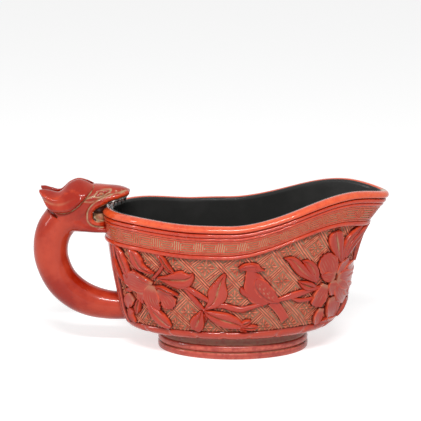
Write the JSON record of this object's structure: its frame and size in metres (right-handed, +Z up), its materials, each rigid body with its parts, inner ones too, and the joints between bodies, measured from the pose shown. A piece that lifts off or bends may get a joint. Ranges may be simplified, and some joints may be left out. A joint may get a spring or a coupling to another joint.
{
  "type": "lacquer pouring ewer",
  "caption": "Oval pouring vessel with a raised spout, moulded bands under the lip, an oval foot and a loop handle ending in an animal head that bites the rim.",
  "frame": {"origin": "middle of the object's box, on the surface that the foot stands on", "axes": "+X towards the spout, +Z up, the handle on the -X side"},
  "size_m": [0.1792, 0.0692, 0.0875],
  "materials": {
    "red_lacquer": "semi-gloss carved cinnabar lacquer, rubbed brighter on the edges",
    "bright_lacquer": "glossy orange-red lacquer on the rubbed mouldings",
    "foot_lacquer": "satin dark red lacquer",
    "black_lacquer": "smooth black lacquer",
    "core_wood": "bare carcass under the lacquer",
    "tooth_metal": "dull silver grey"
  },
  "bodies": {
    "root": {"wood_core": "core_wood", "interior_lacquer": "black_lacquer", "carved_wall": "red_lacquer", "base_border": "red_lacquer", "rim_lip": "bright_lacquer", "rim_bead": "bright_lacquer", "fret_band": "red_lacquer", "band_fillet": "bright_lacquer", "frame_strip_near": "red_lacquer", "frame_strip_far": "red_lacquer", "foot_ring": "foot_lacquer", "base_panel": "black_lacquer", "handle_loop": "red_lacquer", "handle_core": "core_wood", "dragon_head": "red_lacquer", "ear_near": "red_lacquer", "ear_far": "red_lacquer", "eye_near": "bright_lacquer", "eye_far": "bright_lacquer", "upper_teeth": "tooth_metal", "lower_teeth": "tooth_metal"}
  },
  "joints": []
}
